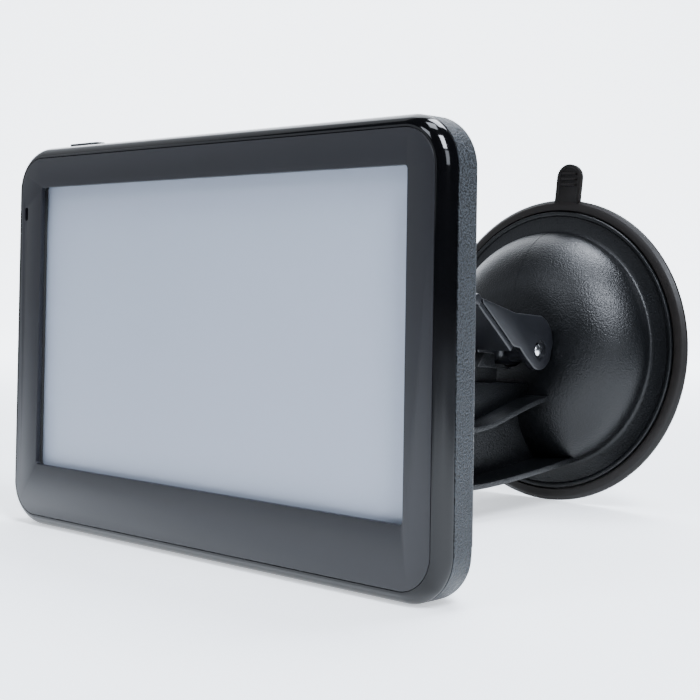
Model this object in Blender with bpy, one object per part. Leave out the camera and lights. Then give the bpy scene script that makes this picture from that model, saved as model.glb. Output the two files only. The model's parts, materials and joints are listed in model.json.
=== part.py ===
"""In-car speed camera detector: a touchscreen unit on a windscreen suction mount.

Frame: X runs along the screen, Y from the screen towards the windscreen, Z up.
The origin is the centre of the bounding box at the surface the object stands on.
Lengths below are in millimetres and are turned into metres by MM.
"""
import math

import bmesh
import bpy
from mathutils import Matrix, Vector

MM = 0.001
GAP = 0.3                      # clearance kept between pieces that touch

# Display unit: sizes of its outline, seen from the front
UNIT_W, UNIT_H, UNIT_D = 131.0, 87.4, 14.0
UNIT_CORNER = 10.0
FACE_W, FACE_H, FACE_CORNER = 126.6, 83.0, 7.8
BEVEL_D = 3.3                  # depth of the glossy sloping rim
SIDE_D = 8.45                  # depth at which the rear cover starts to taper
BACK_INSET = 5.5               # how far the taper moves the outline inwards
WALL = 1.8
BACK_WALL = 1.6

# Screen window and the stack behind it
WINDOW_W, WINDOW_H = 111.5, 63.7
WINDOW_X, WINDOW_Z = 0.75, 2.45
FASCIA_T = 1.2
SCREEN_D = 2.5                 # depth of the screen surface below the fascia
GLASS_T = 0.7

# Power button on the top edge
BUTTON_X, BUTTON_W, BUTTON_T = -45.7, 11.0, 2.8
BUTTON_Y, BUTTON_PROUD, BUTTON_TRAVEL = 6.0, 0.8, 0.4

# Microphone slot in the left border
MIC_X, MIC_Z, MIC_W, MIC_H = -60.9, 28.3, 1.4, 3.2

# Case screws
SCREW_X, SCREW_Z = 50.0, -35.0

# Dovetail between the rear cover and the cradle
RAIL_HALF, RAIL_LIP, RAIL_DEPTH, RAIL_TOP = 12.0, 10.0, 2.2, 2.4

# Ball joint
BALL_R, BALL_DEPTH, BALL_Z = 8.5, 29.0, -15.0
SOCKET_R, COLLAR_BORE_R, COLLAR_R = 10.1, 10.2, 15.5
NECK_R = 3.6

# Suction mount
CUP_R, CUP_DEPTH, CUP_Z = 40.4, 126.7, -3.3
CUP_TILT = math.radians(4.1)
CUP_BACK = 1.2                 # the sealing face lies this far behind the rim plane
DOME_R, DOME_H, DOME_CORE_R, DOME_STEP = 31.0, 18.6, 14.0, 3.3
DOME_SQUARENESS = 1.65
FLANGE_R = 37.0
TAB_W, TAB_REACH = 7.6, 50.1
TAB_TURN = math.radians(-3.3)

# Suction lever, in the plane across the dome: heights above the rim plane
PIN_Y, PIN_Z, PIN_R = -1.15, 24.2, 1.5
HUB_R, CAM_R = 5.0, 8.65
CHEEK_OUT, CHEEK_IN = 13.5, 11.3

REACH = CUP_DEPTH + TAB_REACH * math.sin(CUP_TILT) + CUP_BACK * math.cos(CUP_TILT)
FRONT_Y = -REACH / 2


# Helpers

def material(name, colour, roughness, metallic=0.0):
    """A plain Principled material, made once for each name."""
    mat = bpy.data.materials.get(name)
    if mat:
        return mat
    mat = bpy.data.materials.new(name)
    mat.use_nodes = True
    shader = mat.node_tree.nodes["Principled BSDF"]
    shader.inputs["Base Color"].default_value = (*colour, 1.0)
    shader.inputs["Roughness"].default_value = roughness
    shader.inputs["Metallic"].default_value = metallic
    mat.diffuse_color = (*colour, 1.0)
    return mat


def empty(name, place, tilt=0.0, parent=None):
    """An empty at a place in millimetres, turned about X."""
    obj = bpy.data.objects.new(name, None)
    bpy.context.collection.objects.link(obj)
    obj.location = Vector(place) * MM
    obj.rotation_euler = (tilt, 0.0, 0.0)
    obj.parent = parent
    return obj


def finish(name, mesh, parent, mat=None, guide=False, smooth=False):
    """Close the bmesh, turn its faces outwards and link it as an object."""
    bmesh.ops.remove_doubles(mesh, verts=mesh.verts, dist=1e-4)
    bmesh.ops.recalc_face_normals(mesh, faces=mesh.faces)
    bmesh.ops.scale(mesh, vec=(MM, MM, MM), verts=mesh.verts)
    data = bpy.data.meshes.new(name)
    mesh.to_mesh(data)
    mesh.free()
    obj = bpy.data.objects.new(name, data)
    bpy.context.collection.objects.link(obj)
    obj.parent = parent
    if mat:
        data.materials.append(mat)
    if smooth:
        data.shade_smooth()
        data.set_sharp_from_angle(angle=math.radians(35))
    if guide:
        obj.hide_render = True
        obj.display_type = "WIRE"
    return obj


def rounded(width, height, radius, x=0.0, z=0.0, steps=6):
    """Points (x, z) round a rectangle with round corners."""
    points = []
    for corner, (sx, sz) in enumerate(((1, 1), (-1, 1), (-1, -1), (1, -1))):
        cx = x + sx * (width / 2 - radius)
        cz = z + sz * (height / 2 - radius)
        for step in range(steps + 1):
            angle = math.pi / 2 * (corner + step / steps)
            points.append((cx + radius * math.cos(angle), cz + radius * math.sin(angle)))
    return points


def skin(name, rings, parent, mat=None, ring_shaped=False, **kwargs):
    """Join rings of 3-D points into one solid, capped or closed into a loop."""
    mesh = bmesh.new()
    loops = [[mesh.verts.new(p) for p in ring] for ring in rings]
    pairs = list(zip(loops, loops[1:]))
    if ring_shaped:
        pairs.append((loops[-1], loops[0]))
    else:
        mesh.faces.new(loops[0])
        mesh.faces.new(loops[-1])
    for low, high in pairs:
        for i in range(len(low)):
            j = (i + 1) % len(low)
            mesh.faces.new((low[i], low[j], high[j], high[i]))
    return finish(name, mesh, parent, mat, **kwargs)


def plate(name, sections, parent, mat=None, steps=6, **kwargs):
    """Rounded rectangles (depth, width, height, radius[, x, z]) skinned in order."""
    rings = []
    for depth, *shape in sections:
        rings.append([(x, depth, z) for x, z in rounded(*shape, steps=steps)])
    return skin(name, rings, parent, mat, **kwargs)


def block(name, low, high, parent, mat=None, **kwargs):
    """A box from one corner to the other."""
    (x0, y0, z0), (x1, y1, z1) = low, high
    rings = [[(x0, y, z0), (x1, y, z0), (x1, y, z1), (x0, y, z1)] for y in (y0, y1)]
    return skin(name, rings, parent, mat, **kwargs)


def prism(name, outline, low, high, parent, mat=None, axis="X", **kwargs):
    """An outline of (y, z) points swept along X, or of (x, y) points along Z."""
    if axis == "X":
        rings = [[(x, y, z) for y, z in outline] for x in (low, high)]
    else:
        rings = [[(x, y, z) for x, y in outline] for z in (low, high)]
    return skin(name, rings, parent, mat, **kwargs)


def turned(name, profile, parent, mat=None, steps=32, axis="Z", centre=(0, 0, 0), **kwargs):
    """A profile of (radius, height) points turned about an axis.

    The profile starts and ends on the axis, or closes into a loop off it.
    """
    mesh = bmesh.new()
    turn = {"Z": Matrix.Identity(3),
            "Y": Matrix.Rotation(-math.pi / 2, 3, "X"),
            "X": Matrix.Rotation(math.pi / 2, 3, "Y")}[axis]
    rings = []
    for radius, height in profile:
        count = 1 if radius < 1e-6 else steps
        ring = []
        for step in range(count):
            angle = 2 * math.pi * step / steps
            point = Vector((radius * math.cos(angle), radius * math.sin(angle), height))
            ring.append(mesh.verts.new(turn @ point + Vector(centre)))
        rings.append(ring)
    pairs = list(zip(rings, rings[1:]))
    if len(rings[0]) > 1:
        pairs.append((rings[-1], rings[0]))
    for low, high in pairs:
        for i in range(steps):
            j = (i + 1) % steps
            if len(low) == 1 and len(high) == 1:
                break
            if len(low) == 1:
                mesh.faces.new((low[0], high[j], high[i]))
            elif len(high) == 1:
                mesh.faces.new((low[i], low[j], high[0]))
            else:
                mesh.faces.new((low[i], low[j], high[j], high[i]))
    return finish(name, mesh, parent, mat, smooth=True, **kwargs)


def drum(name, radius, low, high, parent, mat=None, steps=24, axis="Z", centre=(0, 0, 0), **kwargs):
    """A plain cylinder along an axis."""
    profile = [(0, low), (radius, low), (radius, high), (0, high)]
    return turned(name, profile, parent, mat, steps, axis, centre, **kwargs)


def arc(radius, start, end, steps, x=0.0, y=0.0):
    """Points on an arc, angles in degrees."""
    points = []
    for step in range(steps + 1):
        angle = math.radians(start + (end - start) * step / steps)
        points.append((x + radius * math.cos(angle), y + radius * math.sin(angle)))
    return points


def combine(target, other, operation):
    """Add a Boolean modifier that joins or cuts with another object."""
    mod = target.modifiers.new(other.name, "BOOLEAN")
    mod.operation = operation
    mod.object = other
    mod.solver = "EXACT"


def cut(target, *cutters):
    for cutter in cutters:
        combine(target, cutter, "DIFFERENCE")


def join(target, *others):
    for other in others:
        combine(target, other, "UNION")


def soften(obj, width, segments=2, angle=40):
    """Round an object's sharp edges."""
    mod = obj.modifiers.new("soft_edges", "BEVEL")
    mod.width = width * MM
    mod.segments = segments
    mod.limit_method = "ANGLE"
    mod.angle_limit = math.radians(angle)


# Display unit

def make_front(unit):
    """Glossy rim, matte fascia with the screen window, and the gasket behind it."""
    gloss = material("gloss_black", (0.012, 0.012, 0.014), 0.08)
    matte = material("matte_charcoal", (0.045, 0.045, 0.05), 0.55)
    foam = material("black_foam", (0.02, 0.02, 0.02), 0.95)
    seat = (WINDOW_W + 6.2, WINDOW_H + 6.0, 2.0, WINDOW_X, WINDOW_Z)
    pocket = (FACE_W - 0.6, FACE_H - 0.6, FACE_CORNER - 0.3)
    rim = plate("front_frame", [
        (0.1, FACE_W, FACE_H, FACE_CORNER),
        (0.9, FACE_W + 1.7, FACE_H + 1.7, FACE_CORNER + 0.85),
        (2.4, UNIT_W - 0.6, UNIT_H - 0.6, UNIT_CORNER - 0.3),
        (BEVEL_D, UNIT_W, UNIT_H, UNIT_CORNER),
        (BEVEL_D, *seat),
        (FASCIA_T + GAP, *seat),
        (FASCIA_T + GAP, *pocket),
        (0.1, *pocket)], unit, gloss, ring_shaped=True)
    slot = plate("mic_cutter", [
        (-1, MIC_W, MIC_H, MIC_W / 2 - 0.01, MIC_X, MIC_Z),
        (4, MIC_W, MIC_H, MIC_W / 2 - 0.01, MIC_X, MIC_Z)], unit, steps=4, guide=True)
    for side in (-1, 1):
        place = (side * SCREW_X, 0, SCREW_Z)
        post = drum(f"front_post_{side}", 2.5, 2.9, 9.3, unit, axis="Y", centre=place, guide=True)
        bore = drum(f"front_bore_{side}", 1.3, 4.3, 10, unit, axis="Y", centre=place, guide=True)
        join(rim, post)
        cut(rim, bore)
    cut(rim, slot)

    window = (WINDOW_W, WINDOW_H, 1.0, WINDOW_X, WINDOW_Z)
    face = (FACE_W - 1.2, FACE_H - 1.2, FACE_CORNER - 0.6)
    fascia = plate("front_fascia", [
        (0, *face), (FASCIA_T, *face), (FASCIA_T, *window), (0, *window)],
        unit, matte, ring_shaped=True)
    cut(fascia, slot)

    outside = (WINDOW_W + 4.9, WINDOW_H + 4.9, 1.5, WINDOW_X, WINDOW_Z)
    inside = (WINDOW_W + 0.8, WINDOW_H + 0.8, 1.0, WINDOW_X, WINDOW_Z)
    near, far = FASCIA_T + GAP, SCREEN_D - GAP
    plate("screen_gasket", [(near, *outside), (far, *outside), (far, *inside), (near, *inside)],
          unit, foam, ring_shaped=True, steps=3)


def make_screen(unit):
    """Touch panel, liquid crystal panel, its metal tray and its ribbon."""
    glass = material("screen_glass", (0.62, 0.66, 0.7), 0.12)
    steel = material("pressed_steel", (0.6, 0.6, 0.62), 0.35, 1.0)
    amber = material("polyimide_film", (0.55, 0.25, 0.05), 0.4)
    touch = (WINDOW_W + 5.3, WINDOW_H + 5.1, 1.5, WINDOW_X, WINDOW_Z)
    plate("touch_panel", [(SCREEN_D, *touch), (SCREEN_D + GLASS_T, *touch)], unit, glass, steps=3)
    lcd = (WINDOW_W + 3.0, WINDOW_H + 2.8, 0.8, WINDOW_X, WINDOW_Z)
    plate("lcd_panel", [(3.6, *lcd), (6.2, *lcd)], unit, glass, steps=3)
    outer = (WINDOW_W + 4.9, WINDOW_H + 4.7, 1.4, WINDOW_X, WINDOW_Z)
    inner = (WINDOW_W + 3.7, WINDOW_H + 3.5, 1.0, WINDOW_X, WINDOW_Z)
    plate("lcd_tray", [(7.0, *outer), (3.6, *outer), (3.6, *inner), (6.5, *inner)],
          unit, steel, steps=3)
    low = WINDOW_Z - WINDOW_H / 2 - 2.95
    ribbon = [(4.2, low), (4.2, low - 0.3), (9.3, low - 0.3), (9.3, low + 8), (9.0, low + 8),
              (9.0, low)]
    prism("display_ribbon", ribbon, -12, 12, unit, amber)


def make_electronics(unit):
    """Boards and the parts mounted on them, battery, speaker and sockets."""
    green = material("circuit_board", (0.02, 0.16, 0.07), 0.5)
    steel = material("pressed_steel", (0.6, 0.6, 0.62), 0.35, 1.0)
    foil = material("battery_foil", (0.55, 0.56, 0.58), 0.45, 0.6)
    ceramic = material("ceramic", (0.75, 0.68, 0.5), 0.5)
    black = material("black_plastic", (0.03, 0.03, 0.032), 0.5)
    block("main_board", (-48, 7.5, -29), (48, 8.7, 29), unit, green)
    soften(block("processor_shield", (-12, 9.0, 8), (14, 11.0, 28), unit, steel), 0.4)
    soften(block("battery", (-46.5, 9.0, -26), (-16.5, 12.0, 26), unit, foil), 1.0)
    soften(block("satellite_antenna", (28, 9.0, 7), (46, 12.0, 25), unit, ceramic), 0.4)
    turned("speaker", [(0, 9.0), (8.5, 9.0), (8.5, 10.6), (10, 10.6), (10, 12.0), (8.6, 12.0),
                       (8.6, 11.6), (3, 10.9), (0, 10.9)],
           unit, black, steps=28, axis="Y", centre=(36, 0, -16))
    drum("microphone", 2.0, 3.7, 5.2, unit, steel, steps=16, axis="Y", centre=(MIC_X, 0, MIC_Z))

    # Side board with the charging socket and the memory card socket, on the left
    block("port_board", (-61.6, 8.5, -32), (-53, 9.3, 14), unit, green)
    usb = block("usb_socket", (-65.0, 4.3, -23.85), (-58.0, 8.2, -16.15), unit, steel)
    cut(usb, block("usb_hollow", (-66.0, 4.7, -23.45), (-59.5, 7.8, -16.55), unit, guide=True))
    join(usb, block("usb_tongue", (-64.0, 5.7, -22.0), (-59.2, 6.8, -18.0), unit, guide=True))
    card = block("card_socket", (-59.4, 9.6, -7), (-49.0, 11.4, 7), unit, steel)
    cut(card, block("card_hollow", (-61, 10.0, -5.6), (-50.0, 11.0, 5.6), unit, guide=True))


def make_power_button(unit):
    """Sprung push button on the top edge and the switch it presses."""
    black = material("black_plastic", (0.03, 0.03, 0.032), 0.5)
    top = UNIT_H / 2
    foot = top - WALL - GAP
    half, deep = BUTTON_W / 2, BUTTON_T / 2
    cap = block("power_button", (BUTTON_X - half, BUTTON_Y - deep, foot - 0.8),
                (BUTTON_X + half, BUTTON_Y + deep, top + BUTTON_PROUD), unit, black)
    soften(cap, 0.5, 3)
    join(cap, block("button_flange", (BUTTON_X - half - 1.2, BUTTON_Y - deep - 0.5, foot - 0.9),
                    (BUTTON_X + half + 1.2, BUTTON_Y + deep + 0.5, foot), unit, guide=True))
    switch_top = foot - 0.9 - BUTTON_TRAVEL - GAP
    block("power_switch", (BUTTON_X - 3, 4.2, switch_top - 2.6),
          (BUTTON_X + 3, 7.8, switch_top), unit, black)


def make_rear_cover(unit):
    """Textured rear shell with the dovetail groove, vents and socket openings."""
    grain = material("textured_plastic", (0.055, 0.055, 0.06), 0.7)
    back_w, back_h = UNIT_W - 2 * BACK_INSET, UNIT_H - 2 * BACK_INSET
    cover = plate("rear_cover", [
        (UNIT_D, back_w - 1.2, back_h - 1.2, 5.6),
        (UNIT_D - 0.6, back_w, back_h, 6.2),
        (SIDE_D, UNIT_W, UNIT_H, UNIT_CORNER),
        (BEVEL_D + GAP, UNIT_W, UNIT_H, UNIT_CORNER),
        (BEVEL_D + GAP, UNIT_W - 2 * WALL, UNIT_H - 2 * WALL, UNIT_CORNER - WALL),
        (SIDE_D - 0.45, UNIT_W - 2 * WALL, UNIT_H - 2 * WALL, UNIT_CORNER - WALL),
        (UNIT_D - BACK_WALL, back_w - 2.8, back_h - 2.8, 4.8)], unit, grain)

    # Thick pad that carries the dovetail groove
    pad_y = UNIT_D - RAIL_DEPTH - 1.6
    pad = prism("rail_pad", [(pad_y, RAIL_TOP + 3), (UNIT_D - 1, RAIL_TOP + 3),
                             (UNIT_D - 1, -38.0), (pad_y, -40.5)],
                -RAIL_HALF - 2.5, RAIL_HALF + 2.5, unit, guide=True)
    groove_y = UNIT_D - RAIL_DEPTH
    groove = prism("rail_groove", [(-RAIL_HALF, groove_y), (RAIL_HALF, groove_y),
                                   (RAIL_LIP, UNIT_D), (RAIL_LIP, UNIT_D + 1),
                                   (-RAIL_LIP, UNIT_D + 1), (-RAIL_LIP, UNIT_D)],
                   -50, RAIL_TOP, unit, axis="Z", guide=True)
    join(cover, pad)
    for side in (-1, 1):
        place = (side * SCREW_X, 0, SCREW_Z)
        post = drum(f"rear_post_{side}", 2.9, 9.6, 13.3, unit, axis="Y", centre=place, guide=True)
        bore = turned(f"rear_bore_{side}", [(0, 9), (1.3, 9), (1.3, 12.95), (2.6, 12.95), (2.6, 15), (0, 15)],
                      unit, steps=20, axis="Y", centre=place, guide=True)
        join(cover, post)
        cut(cover, bore)
    cut(cover, groove)

    cut(cover, block("button_hole", (BUTTON_X - BUTTON_W / 2 - GAP, BUTTON_Y - BUTTON_T / 2 - GAP, 40),
                     (BUTTON_X + BUTTON_W / 2 + GAP, BUTTON_Y + BUTTON_T / 2 + GAP, 46), unit, guide=True))
    cut(cover, block("usb_hole", (-68, 4.05, -24.15), (-62, 8.4, -15.85), unit, guide=True))
    cut(cover, block("card_hole", (-68, 9.8, -6.2), (-58.2, 11.2, 6.2), unit, guide=True))
    cut(cover, block("nail_notch", (64.6, 7.7, -38), (68, 10.4, -33), unit, guide=True))
    for row in range(5):
        x = 36 + (row - 2) * 3.0
        cut(cover, block(f"speaker_slot_{row}", (x - 0.6, 11, -23), (x + 0.6, 15, -9), unit, guide=True))


def make_case_screws(unit):
    """Two pan head screws that close the case."""
    steel = material("dark_steel", (0.12, 0.12, 0.13), 0.35, 1.0)
    for number, side in enumerate((-1, 1), 1):
        turned(f"case_screw_{number}", [(0, 4.8), (1.0, 5.2), (1.0, 13.2), (2.2, 13.2), (2.2, 13.6),
                                        (1.8, 13.9), (0.7, 13.9), (0.7, 13.5), (0, 13.5)],
               unit, steel, steps=20, axis="Y", centre=(side * SCREW_X, 0, SCREW_Z))


# Cradle and ball joint

def sphere_band(radius, start, end, steps):
    """(radius, depth) points on the ball's sphere, angles in degrees from the front pole."""
    points = []
    for step in range(steps + 1):
        angle = math.radians(start + (end - start) * step / steps)
        points.append((radius * math.sin(angle), -radius * math.cos(angle)))
    return points


def make_cradle(ball):
    """Plate with a dovetail tongue in front and a threaded socket behind."""
    black = material("satin_plastic", (0.025, 0.025, 0.027), 0.4)
    face = UNIT_D - BALL_DEPTH + 0.4
    body = plate("cradle", [(face, 39, 43, 5.5), (face + 0.5, 40, 44, 6), (face + 2.3, 40, 44, 6),
                            (face + 2.8, 39, 43, 5.5)], ball, black)
    tip = UNIT_D - BALL_DEPTH - RAIL_DEPTH + GAP
    lip = UNIT_D - BALL_DEPTH
    rail_top = RAIL_TOP - BALL_Z - GAP
    tongue = prism("rail_tongue", [(-RAIL_HALF + 0.7, tip), (RAIL_HALF - 0.7, tip),
                                   (RAIL_LIP - 0.42, lip), (RAIL_LIP - 0.42, face + 1),
                                   (-RAIL_LIP + 0.42, face + 1), (-RAIL_LIP + 0.42, lip)],
                   -16, rail_top, ball, axis="Z", guide=True)
    boss_end = -0.5
    hollow = sphere_band(SOCKET_R, 0, 90, 10)
    boss = drum("socket_boss", 12.0, face + 2, boss_end, ball, steps=40, axis="Y", guide=True)
    bowl = turned("socket_bowl", hollow + [(SOCKET_R, 2), (0, 2)], ball, steps=40, axis="Y", guide=True)
    join(body, tongue, boss)
    cut(body, bowl)


def make_liners(ball):
    """Two friction liners that grip the ball inside the socket and the collar."""
    nylon = material("friction_liner", (0.35, 0.35, 0.34), 0.6)
    for name, start, end in (("socket_liner", 20, 65), ("collar_liner", 100, 118)):
        profile = sphere_band(BALL_R + 0.3, start, end, 6) + sphere_band(BALL_R + 1.3, end, start, 6)
        turned(name, profile, ball, nylon, steps=32, axis="Y")


def make_collar(ball):
    """Knurled collar that screws onto the socket and clamps the ball."""
    black = material("satin_plastic", (0.025, 0.025, 0.027), 0.4)
    lip = sphere_band(COLLAR_BORE_R, 92, 120, 5)
    low, high = -10.0, 6.2
    profile = [(12.3, low), (12.3, 0.36)] + lip + [(9.8, high), (14.7, high), (COLLAR_R, high - 1.2),
                                                  (COLLAR_R, low + 1.2), (14.7, low)]
    collar = turned("lock_collar", profile, ball, black, steps=48, axis="Y")
    for step in range(12):
        angle = 2 * math.pi * step / 12
        place = ((COLLAR_R + 1.0) * math.cos(angle), 0, (COLLAR_R + 1.0) * math.sin(angle))
        groove = drum(f"grip_groove_{step}", 1.9, low - 1, high + 1, ball, steps=12, axis="Y",
                      centre=place, guide=True)
        cut(collar, groove)


def make_ball_stud(ball):
    """Ball, neck, flange and the shank that screws into the arm."""
    black = material("satin_plastic", (0.025, 0.025, 0.027), 0.4)
    neck = 180 - math.degrees(math.asin(NECK_R / BALL_R))
    profile = sphere_band(BALL_R, 0, neck, 14)
    profile += [(NECK_R, 11.0), (7.0, 11.0), (7.0, 13.0), (3.0, 13.0), (3.0, 20.5), (0, 20.5)]
    turned("ball_stud", profile, ball, black, steps=32, axis="Y")


# Suction mount

def arm_width(depth):
    """Half width of the arm: narrow at the ball, full at the dome."""
    start, end = 13.3, 48.0
    blend = min(max((depth - start) / (end - start), 0), 1)
    return 8.0 + 4.0 * blend * blend * (3 - 2 * blend)


def bezier(a, b, c, d, steps):
    """Points on a cubic curve."""
    points = []
    for step in range(steps + 1):
        t = step / steps
        points.append(tuple((1 - t) ** 3 * p + 3 * (1 - t) ** 2 * t * q + 3 * (1 - t) * t * t * r + t ** 3 * s
                            for p, q, r, s in zip(a, b, c, d)))
    return points


def arm_lines():
    """Upper and lower edge of the arm as (depth, height) points from the ball."""
    upper = bezier((13.6, 8.0), (22, 8.0), (32, -5.5), (50, -5.6), 8)
    upper += bezier((50, -5.6), (58, -5.5), (68, -0.9), (79, 0.5), 5)[1:] + [(90, 2.0)]
    lower = bezier((13.6, -8.0), (22, -8.0), (30, -20.8), (50.4, -20.6), 8)
    lower += bezier((50.4, -20.6), (62, -20.5), (80, -18.6), (94, -16.7), 5)[1:]
    return upper, lower


def arm_strip(name, line, drop, ball, half=None):
    """A band along one edge of the arm, as wide as the arm."""
    rings = []
    for (y0, z0) in line:
        wide = half or arm_width(y0)
        rings.append([(-wide, y0, z0), (wide, y0, z0), (wide, y0, z0 + drop), (-wide, y0, z0 + drop)])
    return skin(name, rings, ball, guide=True)


def dome_outline(offset, top):
    """Outer or inner shoulder of the dome as (radius, height) points."""
    points = []
    steps = 11
    power = 2 / DOME_SQUARENESS
    for step in range(steps + 1):
        angle = math.pi / 2 * step / steps
        reach = DOME_R - DOME_CORE_R - offset
        rise = top - DOME_STEP
        points.append((DOME_CORE_R + reach * max(math.cos(angle), 0) ** power,
                       DOME_STEP + rise * math.sin(angle) ** power))
    return points


def make_suction_base(cup, ball):
    """Dome, rim flange, arm and lever stop, moulded in one piece."""
    black = material("blasted_plastic", (0.02, 0.02, 0.022), 0.38)
    outline = [(0, 0.2), (FLANGE_R, 0.2), (FLANGE_R, 1.3), (FLANGE_R - 1.4, 1.3), (FLANGE_R - 1.6, 1.0),
               (DOME_R + 0.6, 1.4), (DOME_R, 2.2)]
    base = turned("suction_base", outline + dome_outline(0, DOME_H) + [(0, DOME_H + 0.1)],
                  cup, black, steps=48)
    upper, lower = arm_lines()
    flange_t = 2.0
    web = []
    for (yu, zu), (yl, zl) in zip(upper[1:], lower[1:]):
        web.append([(-2.5, yu, zu - 1), (2.5, yu, zu - 1), (2.5, yl, zl + 1), (-2.5, yl, zl + 1)])
    top_strip = arm_strip("arm_top", upper, -flange_t, ball)
    low_strip = arm_strip("arm_bottom", lower, flange_t, ball)
    web_strip = skin("arm_web", web, ball, guide=True)
    nose = plate("arm_nose", [(13.3, 16.6, 16.6, 8.0), (24, 17, 17, 8.0)], ball, guide=True)
    stop = prism("lever_stop", [(-5.8, 26.5), (-5.8, 32.4), (-4.6, 33.1), (-2.6, 33.4), (-2.6, 37.4),
                                (-6.3, 39.7), (-10.2, 40.6), (-10.8, 51.0), (-12.6, 53.0), (-22, 52.2),
                                (-13.8, 17.6), (-9.5, 18.4), (-9.3, 25.5)],
                 -6, 6, cup, guide=True)
    join(base, top_strip, low_strip, web_strip, nose, stop)

    cavity = [(0, -1), (DOME_R - 2.4, -1), (DOME_R - 2.4, 3.0)] + dome_outline(2.2, DOME_H - 2.4)
    cavity += [(0, DOME_H - 2.4)]
    cut(base, turned("dome_cavity", cavity, cup, steps=32, guide=True))
    cut(base, drum("plunger_hole", 4.7, 10, 30, cup, steps=32, centre=(0, PIN_Y, 0), guide=True))
    cut(base, drum("stud_bore", 3.3, 10, 21.5, ball, axis="Y", guide=True))


def make_suction_cup(cup):
    """Soft rubber disc with a thin lip and a pull tab."""
    rubber = material("soft_rubber", (0.035, 0.033, 0.03), 0.75)
    profile = [(0, -0.5), (22, -0.7), (32, -CUP_BACK), (CUP_R, -CUP_BACK), (CUP_R, -0.5),
               (CUP_R - 0.9, 0.3), (FLANGE_R + 0.4, 0.9), (FLANGE_R + 0.35, -0.1), (17, -0.1),
               (16, 2.3), (0, 2.3)]
    disc = turned("suction_cup", profile, cup, rubber, steps=64)
    half = TAB_W / 2
    tip = TAB_REACH / math.cos(TAB_TURN) - half
    outline = [(half, 36), *arc(half, 0, 180, 10, 0, tip), (-half, 36)]
    turn = Matrix.Rotation(TAB_TURN, 3, "Z")
    rings = [[tuple(turn @ Vector((x, y, z))) for x, y in outline] for z in (-CUP_BACK, 0.4)]
    tab = skin("pull_tab", rings, cup, guide=True)
    clear = drum("tab_clear", FLANGE_R + 0.35, -0.1, 3, cup, steps=64, guide=True)
    cut(tab, clear)
    join(disc, tab)


def make_plunger(cup):
    """Stem and disc that lift the rubber, and the pin through the stem."""
    steel = material("polished_steel", (0.75, 0.75, 0.76), 0.15, 1.0)
    black = material("satin_plastic", (0.025, 0.025, 0.027), 0.4)
    stem = turned("plunger", [(0, 2.7), (14, 2.7), (14, 4.2), (4.2, 5.2), (4.2, PIN_Z + 3.4),
                              (3.4, PIN_Z + 4.2), (0, PIN_Z + 4.2)], cup, black, steps=32,
                  centre=(0, PIN_Y, 0))
    cut(stem, drum("stem_bore", PIN_R + GAP, -6, 6, cup, steps=20, axis="X",
                   centre=(0, PIN_Y, PIN_Z), guide=True))
    pin = CHEEK_OUT - 0.3
    turned("lever_pin", [(0, -pin), (PIN_R - 0.3, -pin), (PIN_R, -pin + 0.3), (PIN_R, pin - 0.3),
                         (PIN_R - 0.3, pin), (0, pin)], cup, steel, steps=20, axis="X",
           centre=(0, PIN_Y, PIN_Z))


def make_lever(axle):
    """Two cam cheeks, the thumb plate between them and its rolled lip."""
    black = material("satin_plastic", (0.025, 0.025, 0.027), 0.4)
    cam = []
    for step in range(9):
        share = 1 - step / 8
        angle = math.pi / 2 * share
        radius = HUB_R + (CAM_R - HUB_R) * share
        cam.append((radius * math.sin(angle), -radius * math.cos(angle)))
    hub = arc(HUB_R, 270, 140, 8)
    cheek = [(11.5, 24.2), (CAM_R, 11.0)] + cam + hub[1:] + [(0.2, 8.4), (-0.2, 12.1), (10.1, 26.0)]
    pieces = []
    for side in (-1, 1):
        low, high = sorted((side * CHEEK_IN, side * CHEEK_OUT))
        pieces.append(prism(f"cheek_{side}", cheek, low, high, axle, guide=True))
        low, high = sorted((side * 4.8, side * (CHEEK_IN + 0.5)))
        pieces.append(drum(f"hub_tube_{side}", 3.2, low, high, axle, steps=24, axis="X", guide=True))
    start, end, thick = Vector((0.2, 11.6)), Vector((10.6, 25.6)), 1.5
    across = Vector((-(end - start).y, (end - start).x)).normalized() * thick
    outline = [tuple(start), tuple(end), tuple(end + across), tuple(start + across)]
    plate_web = prism("lever", outline, -CHEEK_OUT, CHEEK_OUT, axle, black)
    lip = drum("rolled_lip", 1.4, -CHEEK_OUT, CHEEK_OUT, axle, steps=16, axis="X",
               centre=(0, 10.9, 26.7), guide=True)
    join(plate_web, *pieces, lip)
    bore = PIN_R + GAP
    cut(plate_web, drum("lever_bore", bore, -20, 20, axle, steps=20, axis="X", guide=True))
    for side in (-1, 1):
        low, high = sorted((side * (CHEEK_OUT - 0.8), side * (CHEEK_OUT + 1)))
        cut(plate_web, drum(f"pin_recess_{side}", 2.5, low, high, axle, steps=24, axis="X", guide=True))


def main():
    for obj in list(bpy.data.objects):
        bpy.data.objects.remove(obj, do_unlink=True)
    unit = empty("display_frame", (0, FRONT_Y, UNIT_H / 2))
    ball = empty("ball_centre", (0, FRONT_Y + BALL_DEPTH, UNIT_H / 2 + BALL_Z))
    cup = empty("cup_frame", (0, FRONT_Y + CUP_DEPTH, UNIT_H / 2 + CUP_Z), math.pi / 2 - CUP_TILT)
    axle = empty("lever_axis", (0, PIN_Y, PIN_Z), parent=cup)
    make_front(unit)
    make_screen(unit)
    make_electronics(unit)
    make_power_button(unit)
    make_rear_cover(unit)
    make_case_screws(unit)
    make_cradle(ball)
    make_liners(ball)
    make_collar(ball)
    make_ball_stud(ball)
    make_suction_base(cup, ball)
    make_suction_cup(cup)
    make_plunger(cup)
    make_lever(axle)


main()
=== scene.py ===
import json
import math
import bpy
from mathutils import Matrix, Vector


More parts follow.
